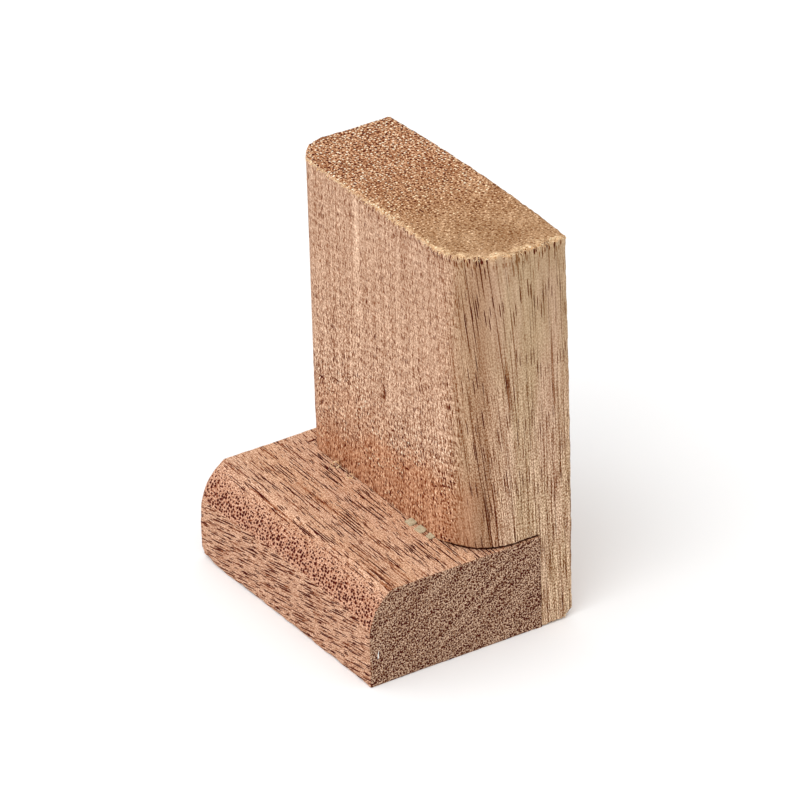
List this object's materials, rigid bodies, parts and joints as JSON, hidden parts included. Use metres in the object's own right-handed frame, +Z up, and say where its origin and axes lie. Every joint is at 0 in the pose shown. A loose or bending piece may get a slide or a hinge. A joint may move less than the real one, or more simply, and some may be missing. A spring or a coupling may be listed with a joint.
{
  "type": "guitar neck block",
  "caption": "Wooden neck block for an acoustic guitar: an upright of vertical grain with a rebate, and a cross-grain foot with a rounded nose glued into it.",
  "frame": {"origin": "middle of the underside of the whole block's bounding box", "axes": "+Z up the upright's grain, +X along the foot's grain to the right seen from the foot's side, -Y the way the foot points"},
  "size_m": [0.075, 0.058, 0.102],
  "materials": {
    "upright_wood": "raw, as sawn",
    "foot_wood": "raw, lightly sanded",
    "glue": "satin"
  },
  "bodies": {
    "root": {"upright_block": "upright_wood", "foot_block": "foot_wood", "glue_film": "glue", "glue_bead_left": "glue", "glue_bead_middle": "glue", "glue_bead_right": "glue"}
  },
  "joints": []
}
